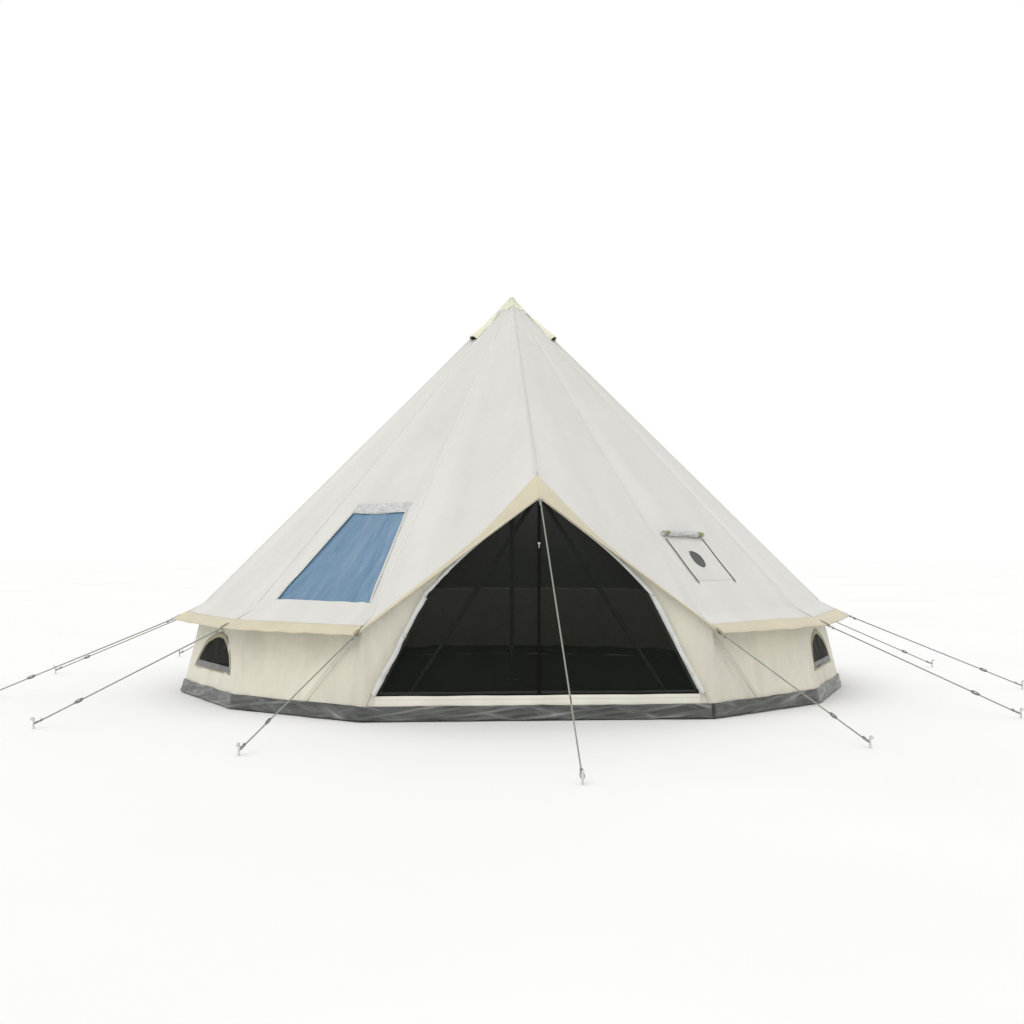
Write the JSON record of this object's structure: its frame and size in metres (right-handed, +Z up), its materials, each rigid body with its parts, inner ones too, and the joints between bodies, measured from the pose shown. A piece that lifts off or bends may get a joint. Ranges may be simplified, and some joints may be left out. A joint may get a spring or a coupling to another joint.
{
  "type": "canvas bell tent",
  "caption": "Round canvas bell tent on one centre pole, with low walls, a mesh door under a peaked hood, a clear sky window, a stove outlet, a rimmed groundsheet and guy lines.",
  "frame": {"origin": "on the ground under the centre pole, at the middle of the full plan", "axes": "+Z is up, the door faces -Y, +X is to the right for someone facing the door from outside"},
  "size_m": [7.519, 8.2614, 3.0445],
  "materials": {
    "roof_canvas": "off-white cotton canvas, flat seams, matt",
    "wall_canvas": "cream cotton canvas, matt",
    "band_fabric": "sand-coloured heavy canvas band",
    "insect_mesh": "dark green-black woven mesh",
    "groundsheet_pvc": "grey coated PVC, creased, satin",
    "clear_pvc": "clear blue-tinted PVC film, rippled, glossy",
    "silver_flap": "silver-grey coated flap fabric, creased",
    "dark_cover": "dark grey heat-proof cover",
    "strap": "dark woven strap",
    "zip": "black coil zip",
    "steel_tube": "galvanised steel tube",
    "guy_rope": "grey-green braided cord"
  },
  "bodies": {
    "root": {"ground_sheet": "groundsheet_pvc", "sheet_rim_front": "groundsheet_pvc", "sheet_rim_left": "groundsheet_pvc", "sheet_rim_right": "groundsheet_pvc", "wall_left_front": "wall_canvas", "wall_left_side": "wall_canvas", "wall_left_back": "wall_canvas", "wall_right_front": "wall_canvas", "wall_right_side": "wall_canvas", "wall_right_back": "wall_canvas", "front_gusset_left": "wall_canvas", "front_gusset_right": "wall_canvas", "front_panel_left": "wall_canvas", "front_panel_right": "wall_canvas", "roof_left_front": "roof_canvas", "roof_left_side": "roof_canvas", "roof_left_back": "roof_canvas", "roof_right_front": "roof_canvas", "roof_right_side": "roof_canvas", "roof_right_back": "roof_canvas", "hood_left": "roof_canvas", "hood_right": "roof_canvas", "hood_band_trim": "band_fabric", "eave_band_left": "band_fabric", "eave_band_right": "band_fabric", "door_mesh_left": "insect_mesh", "door_mesh_right": "insect_mesh", "door_zip": "zip", "door_sill": "band_fabric", "door_rolls": "silver_flap", "door_frame": "steel_tube", "centre_pole": "steel_tube", "apex_cap": "band_fabric", "vent_hoods": "band_fabric", "vent_meshes": "insect_mesh", "sky_window": "clear_pvc", "sky_window_hem": "silver_flap", "stove_patch": "roof_canvas", "stove_cover": "dark_cover", "stove_flap_roll": "silver_flap", "stove_flap_ties": "strap", "window_meshes": "insect_mesh", "window_bindings": "band_fabric", "front_guy_line": "guy_rope", "guy_lines": "guy_rope", "pegs": "steel_tube"}
  },
  "joints": []
}
